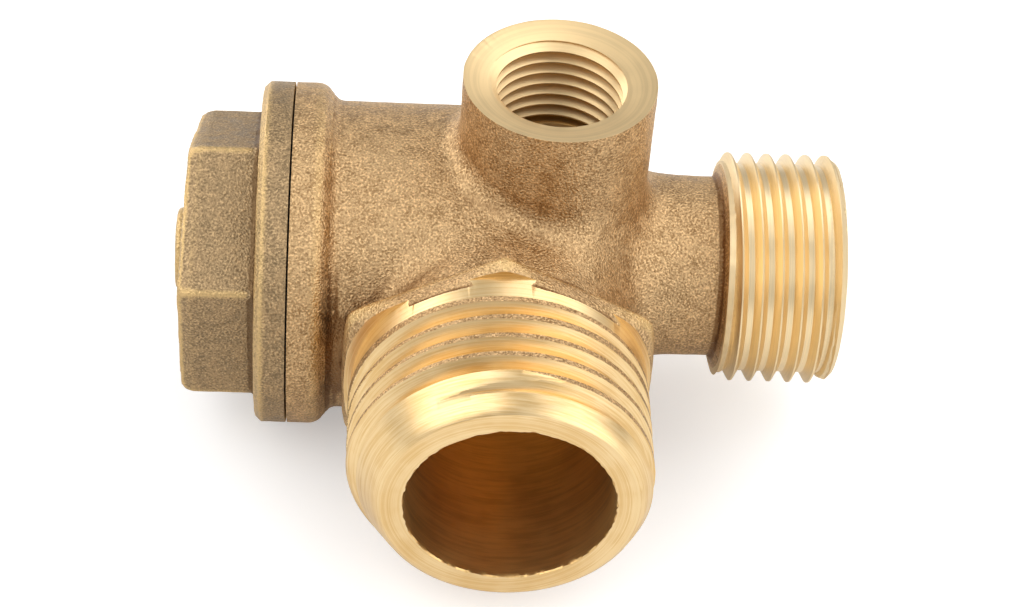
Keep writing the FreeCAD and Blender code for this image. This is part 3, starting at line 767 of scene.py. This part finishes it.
def moulded_rubber(name, value):
    """Matt rubber with fine moulding grain and pale bloom."""
    paint = new_paint(name)
    at = paint.place()
    grain = paint.noise(at, 6.0, 3.0, 0.6)
    bloom = paint.noise(at, 0.7, 2.0)
    colour_here = paint.mix(paint.between(bloom, 0.4, 0.8) * 0.5, rgba(value), rgba(value, 2.2))
    return paint.metal(colour_here, 0.62 + grain * 0.15, paint.bump(grain, 0.3, 0.03), {"Metallic": 0.0})


# The valve body

def barrel_outline(s):
    """Half-section of the cast barrel: flange, rounded rim and root, shoulder curve and neck."""
    flange, barrel, neck = mm(s.flange_radius), mm(s.barrel_radius), mm(s.neck_radius)
    end, root, edge = -12.8, 0.8, 1.2
    rim = quarter((end - edge, flange - edge), edge, math.pi / 2)
    angle = math.pi + np.linspace(0, math.pi / 2, 7)
    hollow = [(end + root + root * math.cos(a), barrel + root + root * math.sin(a)) for a in angle]
    curve = clamped_spline([
        (end + root, barrel), (-5.5, barrel), (0.0, barrel), (5.5, barrel), (6.8, barrel - 0.867),
        (8.1, (barrel + neck) / 2), (10.7, neck), (13.7, neck), (16.3, neck),
    ], 60)
    collar = [
        (16.6, neck), (16.75, neck + 0.35), (16.9, neck + 0.9), (17.1, neck + 1.25), (18.0, neck + 1.3),
        (18.0, 0.0),
    ]
    return [(-16.5, 0.0), (-16.5, flange), *rim, *hollow, *map(tuple, curve[1:]), *collar]


def body_field(s):
    """Union of the barrel, the boss and the tank port's stub, hexagon and thread blank, with fillets."""
    barrel = Outline(barrel_outline(s))
    boss_radius, stub_radius = mm(s.boss_radius), mm(s.stub_radius)
    section = hexagon(mm(s.hexagon_width), mm(s.hexagon_height), mm(s.hexagon_side), HEXAGON_EDGE)

    def field(p):
        x, y, z = p[..., 0], p[..., 1], p[..., 2]
        out = -y
        main = barrel(x, np.hypot(y, z))
        boss = prism(np.hypot(x - BOSS_OFFSET, y) - boss_radius, z, BOSS_SPAN, CAST_EDGE)
        stub = prism(np.hypot(x, z) - stub_radius, out, STUB_SPAN, CAST_EDGE)
        collar = prism(section(x + HEXAGON_SHIFT, z), out, HEXAGON_SPAN, HEXAGON_EDGE)
        cone = (np.hypot(x + HEXAGON_SHIFT, z) + out - HEXAGON_CONE) / SQRT2
        collar = -filleted(-collar, -cone, CONE_FILLET)
        round_blank = np.hypot(x + BLANK_SHIFT, z + BLANK_SHIFT) - BLANK_RADIUS
        blank = prism(round_blank, out, BLANK_SPAN, CAST_EDGE)
        port = filleted(filleted(stub, collar, HEXAGON_FILLET), blank, BLANK_FILLET)
        return filleted(filleted(main, boss, BOSS_FILLET), port, PORT_FILLET)

    return field


def cast_piece(name, field, box, s, material, seed):
    """The field's surface, moved outward by two sizes of noise. It keeps its bend for the paint."""
    points, quads, outward = skin_of(field, *box, mm(s.cell))
    bumps = uneven(points, 1.2, seed) * 0.7 + uneven(points, 0.55, seed + 1) * 0.6
    bend = bend_of(field, points)
    piece = new_piece(name, points + outward * (bumps * mm(s.grain))[:, None], quads, material)
    piece.data.attributes.new("bend", "FLOAT", "POINT").data.foreach_set("value", bend.astype(np.float32))
    return piece


def metric(radius, depth, pitch, crest_width, steps=2):
    """Section of a 60 degree thread from crest to crest as (share of the pitch, radius)."""
    crest = crest_width / 2 / pitch
    flank = depth * math.tan(math.radians(30.0)) / pitch
    down = [(crest + flank * i / steps, radius - depth * i / steps) for i in range(steps + 1)]
    up = [(1 - share, r) for share, r in reversed(down)]
    return [(-crest, radius), *down, *up[:-1]]


def first_crest(at, pitch, beyond):
    """Where the first crest lies at angle 0, so that one is at the given place at a quarter turn."""
    start = at - pitch / 4
    return start - pitch * math.ceil((start - beyond) / pitch)


def make_body(context):
    s, t, f = context.scene.valve_casting, context.scene.valve_threads, context.scene.valve_finish
    skin = cast_brass("cast_brass", f.skin, f.skin_deep, f.worn)
    tank = turned_brass("turned_tank_port", "tank", f.turned, f.turned_deep, 0.24, 9.0)
    inlet = turned_brass("turned_inlet_port", "inlet", f.inlet, scaled(f.inlet, 0.88), 0.26, 9.0)
    boss = turned_brass("turned_boss", "boss", f.turned, scaled(f.turned, 0.9), 0.32, 4.0, 0.2)
    bore = turned_brass("bored_tank_port", "tank", f.bored, scaled(f.bored, 0.8), 0.32, 4.0, 0.12)
    body = cast_piece("body_casting", body_field(s), BODY_BOX, s, skin, 3)

    radius, pitch = mm(t.tank_radius), mm(t.tank_pitch)
    rod = threaded(
        "tank_thread", TANK, metric(radius, TANK_DEPTH, pitch, TANK_CREST, 6), pitch,
        first_crest(TANK_MET, pitch, 12.5), 27.5, tank, 192, TANK_RUN_OUT,
    )
    carve(rod, turned("tank_envelope", TANK_BORE, TANK_ENVELOPE, tank, 192, {5: 0.03}), "INTERSECT")
    carve(rod, turned("tank_land", TANK, TANK_LAND, tank, 192), "INTERSECT")
    cutter = turned("tank_turning", TANK, TANK_TURNING, tank, 192)
    carve(cutter, rod, "DIFFERENCE")
    carve(body, cutter, "DIFFERENCE")
    carve(body, turned("boss_facing", BOSS, BOSS_FACING, boss), "DIFFERENCE")
    carve(body, turned("neck_facing", BARREL, NECK_FACING, inlet), "DIFFERENCE")

    radius, pitch = mm(t.inlet_radius), mm(t.inlet_pitch)
    rod = threaded(
        "inlet_thread", BARREL, metric(radius, INLET_DEPTH, pitch, INLET_CREST), pitch,
        first_crest(INLET_MET, pitch, 14.7), 27.2, inlet,
    )
    carve(rod, turned("inlet_envelope", BARREL, INLET_ENVELOPE, inlet, 160, {6: 0.08}), "INTERSECT")
    carve(rod, turned("inlet_run_out", BARREL, INLET_RUN_OUT, inlet, 160, {3: 0.06, 4: 0.10}), "UNION")
    burr = turned("inlet_burr", BARREL, INLET_BURR, inlet, 160, {2: 0.12, 3: 0.14, 4: 0.08})
    carve(rod, burr, "UNION")
    carve(body, rod, "UNION")

    carve(body, turned("barrel_boring", BARREL, BARREL_BORING, inlet), "DIFFERENCE")
    boring = turned("tank_boring", TANK_BORE, TANK_BORING, bore, 256, {4: 0.06, 5: 0.13, 6: 0.13})
    carve(body, boring, "DIFFERENCE")
    carve(body, turned("boss_boring", BOSS, BOSS_BORING, boss), "DIFFERENCE")
    radius, pitch = mm(t.boss_radius), mm(t.boss_pitch)
    section = metric(radius, BOSS_DEPTH, pitch, BOSS_CREST, 4)
    rod = threaded("boss_thread", BOSS, section, pitch, BOSS_FIRST, BOSS_LAST, boss, 128)
    carve(body, rod, "DIFFERENCE")
    finish_piece(body, 32)
    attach(body, "housing")
    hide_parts("valve_body")


def finish_piece(piece, degrees):
    """Smooth shading with edges sharper than the angle kept crisp."""
    piece.data.shade_smooth()
    piece.data.set_sharp_from_angle(angle=math.radians(degrees))


# The cap

def cap_field(s):
    """Union of the flange, the hexagon with its chamfered end and the centre pip.

    The hexagon's end leans a little: it lies further out towards the tank port.
    """
    flange = mm(s.flange_radius)
    flats = mm(s.cap_flats)
    section = hexagon(flats, flats / COS30, flats / COS30 / 2, CAP_HEXAGON_EDGE)
    cos, sin = math.cos(CAP_TURN), math.sin(CAP_TURN)
    disc = Outline([
        (-18.075, 0), (-18.075, flange - CAP_FLANGE_BEVEL), (-18.075 + CAP_FLANGE_BEVEL, flange),
        (-15.0, flange), (-15.0, 0),
    ])

    def field(p):
        x, y, z = p[..., 0], p[..., 1], p[..., 2]
        radius = np.hypot(y, z)
        flat = section(y * cos + z * sin, z * cos - y * sin)
        end = x - CAP_LEAN * y - CAP_END
        hexa = prism(flat, end, CAP_SPAN, CAST_EDGE)
        bevel = (flat - CAP_DRAFT * (end - CAP_NARROWS)) / math.hypot(1, CAP_DRAFT)
        cone = (radius - CAP_CONE - end) / SQRT2
        hexa = np.maximum(np.maximum(hexa, bevel), cone)
        pip = prism(radius - PIP_RADIUS, x, PIP_SPAN, CAP_FILLET)
        return filleted(filleted(disc(x, radius), hexa, CAP_FILLET), pip, CAP_FILLET)

    return field


def make_cap(context):
    s, f = context.scene.valve_casting, context.scene.valve_finish
    skin = cast_brass("cast_cap", f.cap_skin, scaled(f.cap_skin, 0.5), f.worn)
    cut = turned_brass("turned_cap", "inlet", f.turned, f.turned_deep, 0.25, 9.0)
    cap = cast_piece("cap_casting", cap_field(s), CAP_BOX, s, skin, 21)
    carve(cap, turned("cap_facing", BARREL, CAP_FACING, cut), "DIFFERENCE")
    carve(cap, turned("cap_skirt", BARREL, CAP_SKIRT, cut), "UNION")
    carve(cap, turned("cap_boring", BARREL, CAP_BORING, cut), "DIFFERENCE")
    finish_piece(cap, 32)
    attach(cap, "housing")
    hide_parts("end_cap")


# The inside

def coil_line(s):
    """Centre line of the spring: a closed turn at each end and an even climb between them."""
    length, closed, first, turns = SPRING_LENGTH, CLOSED_TURN, GROUND_END, s.turns
    angle = np.linspace(0, (turns + 2) * TURN, (turns + 2) * 40 + 1)
    done = angle / TURN
    climb = (length - 2 * first - 2 * closed) / turns
    along = first + np.minimum(done, 1) * closed + np.clip(done - 1, 0, turns) * climb
    along = along + np.clip(done - 1 - turns, 0, 1) * closed
    return SPRING_FLOOR + along, angle


def make_spring(context):
    """Round wire along the coil: each ring stands square to the line and starts away from the axis."""
    s, f = context.scene.valve_spring, context.scene.valve_finish
    along, angle = coil_line(s)
    radius, wire = mm(s.radius), mm(s.wire)
    line = BARREL.points(along, np.full_like(angle, radius), angle)
    heading = np.gradient(line, axis=0)
    heading /= np.linalg.norm(heading, axis=1, keepdims=True)
    outward = BARREL.points(np.zeros_like(angle), np.ones_like(angle), angle)
    side = np.cross(heading, outward)
    sides = 12
    turn = np.arange(sides) * TURN / sides
    around = np.cos(turn)[:, None] * outward[:, None] + np.sin(turn)[:, None] * side[:, None]
    rings = line[:, None] + wire * around
    rings[..., 0] = np.clip(rings[..., 0], SPRING_FLOOR, SPRING_FLOOR + SPRING_LENGTH)
    points = np.concatenate([rings.reshape(-1, 3), rings[[0, -1]].mean(1)])
    faces = [group[:, ::-1] for group in tube(len(line), sides)]
    spring = new_piece("spring_coil", points, faces, drawn_steel("spring_wire", f.steel))
    finish_piece(spring, 50)
    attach(spring, "housing")
    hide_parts("return_spring")
    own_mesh(spring)


def finish_inside(context):
    """The plunger, seal and gasket keep their solids and get their own finishes."""
    f = context.scene.valve_finish
    finishes = {
        "poppet": turned_brass("turned_poppet", "inlet", f.turned, f.turned_deep, 0.22, 9.0),
        "seal_disc": moulded_rubber("seal_moulding", f.rubber),
        "cap_gasket": moulded_rubber("gasket_sheet", f.rubber),
    }
    for node, material in finishes.items():
        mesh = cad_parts[node].data
        mesh.materials.clear()
        mesh.materials.append(material)


# The studio

def lamp(name, place, size, watts):
    """A square soft light at the place, turned to the valve."""
    light = bpy.data.lights.new(name, "AREA")
    light.shape = "SQUARE"
    light.size = size
    light.energy = watts
    holder = bpy.data.objects.new(name, light)
    bpy.context.scene.collection.objects.link(holder)
    point_at(holder, np.array(place, float), np.array([0.0, TANK_REACH * MM, 0.0]))


def point_at(holder, place, target):
    """Puts an object at the place with its -Z towards the target."""
    back = place - target
    back = back / np.linalg.norm(back)
    right = np.cross([0.0, 0.0, 1.0], back)
    right = right / np.linalg.norm(right)
    up = np.cross(back, right)
    matrix = np.eye(4)
    matrix[:3, 0], matrix[:3, 1], matrix[:3, 2], matrix[:3, 3] = right, up, back, place
    holder.matrix_world = Matrix(matrix.tolist())


def make_camera():
    """The camera of the photograph, found by fitting the valve's outlines."""
    azimuth, elevation = math.radians(CAMERA_AZIMUTH), math.radians(CAMERA_ELEVATION)
    roll = math.radians(CAMERA_ROLL)
    level = math.cos(elevation)
    back = np.array([math.sin(azimuth) * level, -math.cos(azimuth) * level, math.sin(elevation)])
    right = np.array([math.cos(azimuth), math.sin(azimuth), 0.0])
    up = np.cross(back, right)
    side = math.cos(roll) * right + math.sin(roll) * up
    top = math.cos(roll) * up - math.sin(roll) * right
    place = (np.array(CAMERA_PLACE) + [0.0, TANK_REACH, 0.0]) * MM
    matrix = np.eye(4)
    matrix[:3, 0], matrix[:3, 1], matrix[:3, 2], matrix[:3, 3] = side, top, back, place
    data = bpy.data.cameras.new("camera")
    data.sensor_width = SENSOR
    data.lens = FOCAL_LENGTH / PHOTO_WIDTH * data.sensor_width
    data.clip_start = 0.01
    camera = bpy.data.objects.new("camera", data)
    bpy.context.scene.collection.objects.link(camera)
    camera.matrix_world = Matrix(matrix.tolist())
    bpy.context.scene.camera = camera


def make_floor():
    """A wide pale floor under the valve. It looks white and keeps the valve's shadow."""
    paint = new_paint("floor")
    ray = paint.node("LightPath").outputs
    lit = paint.node("BsdfDiffuse", None, {"Color": FLOOR_GREY})
    glow = paint.node("Emission", None, {"Color": WHITE, "Strength": FLOOR_GLOW})
    both = paint.node("AddShader", None, {0: lit.outputs[0], 1: glow.outputs[0]})
    mixed = {0: ray["Is Camera Ray"], 1: lit.outputs[0], 2: both.outputs[0]}
    surface = paint.node("MixShader", None, mixed)
    paint.node("OutputMaterial", None, {"Surface": surface.outputs[0]})
    half, low = FLOOR_HALF, mm(CAD_BOX[0][2])
    corners = [(-half, -half, low), (half, -half, low), (half, half, low), (-half, half, low)]
    floor = new_piece("floor", corners, np.array([[0, 1, 2, 3]]), paint.holder)


def make_world():
    """White where the camera looks, plain pale grey as a light."""
    paint = Paint(bpy.data.worlds.new("studio"))
    bpy.context.scene.world = paint.holder
    ray = paint.node("LightPath").outputs
    white = paint.node("Background", None, {"Color": WHITE})
    soft = paint.node("Background", None, {"Color": WORLD_GREY})
    mixed = {0: ray["Is Camera Ray"], 1: soft.outputs[0], 2: white.outputs[0]}
    surface = paint.node("MixShader", None, mixed)
    paint.node("OutputWorld", None, {"Surface": surface.outputs[0]})


def make_stage(context):
    make_camera()
    make_floor()
    make_world()
    for row in LAMPS:
        lamp(*row)
    context.scene.view_settings.view_transform = "Standard"


# Operators and panel

class VALVE_OT_body(bpy.types.Operator):
    """Build the body: the casting, its turned faces, threads and bores"""

    bl_idname = "valve.body"
    bl_label = "Valve body"

    def execute(self, context):
        make_body(context)
        return {"FINISHED"}


class VALVE_OT_cap(bpy.types.Operator):
    """Build the end cap"""

    bl_idname = "valve.cap"
    bl_label = "End cap"

    def execute(self, context):
        make_cap(context)
        return {"FINISHED"}


class VALVE_OT_spring(bpy.types.Operator):
    """Build the return spring"""

    bl_idname = "valve.spring"
    bl_label = "Return spring"

    def execute(self, context):
        make_spring(context)
        return {"FINISHED"}


class VALVE_OT_inside(bpy.types.Operator):
    """Give the plunger, the seal and the gasket their finishes"""

    bl_idname = "valve.inside"
    bl_label = "Plunger, seal and gasket"

    def execute(self, context):
        finish_inside(context)
        return {"FINISHED"}


class VALVE_OT_stage(bpy.types.Operator):
    """Set up the floor, the lights and the camera"""

    bl_idname = "valve.stage"
    bl_label = "Floor, lights and camera"

    def execute(self, context):
        make_stage(context)
        return {"FINISHED"}


class VALVE_PT_panel(bpy.types.Panel):
    """Lists the valve's pieces and settings"""

    bl_idname = "VALVE_PT_panel"
    bl_label = "Non-return valve"
    bl_space_type = "VIEW_3D"
    bl_region_type = "UI"
    bl_category = "Valve"

    def draw(self, context):
        for name in SETTINGS:
            box = self.layout.box()
            settings = getattr(context.scene, name)
            for prop in settings.bl_rna.properties:
                if prop.identifier not in ("rna_type", "name"):
                    box.prop(settings, prop.identifier)
        for operator in OPERATORS:
            self.layout.operator(operator.bl_idname)


SETTINGS = {
    "valve_casting": CastingSettings,
    "valve_threads": ThreadSettings,
    "valve_spring": SpringSettings,
    "valve_finish": FinishSettings,
}
OPERATORS = (VALVE_OT_stage, VALVE_OT_body, VALVE_OT_cap, VALVE_OT_spring, VALVE_OT_inside)


def register():
    for cls in (*SETTINGS.values(), *OPERATORS, VALVE_PT_panel):
        bpy.utils.register_class(cls)
    for name, group in SETTINGS.items():
        setattr(bpy.types.Scene, name, bpy.props.PointerProperty(type=group))


def unregister():
    for name in SETTINGS:
        delattr(bpy.types.Scene, name)
    for cls in (*SETTINGS.values(), *OPERATORS, VALVE_PT_panel):
        bpy.utils.unregister_class(cls)


def main():
    register()
    bpy.ops.valve.stage()
    bpy.ops.valve.body()
    bpy.ops.valve.cap()
    bpy.ops.valve.spring()
    bpy.ops.valve.inside()
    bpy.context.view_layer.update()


if __name__ == "__main__":
    main()
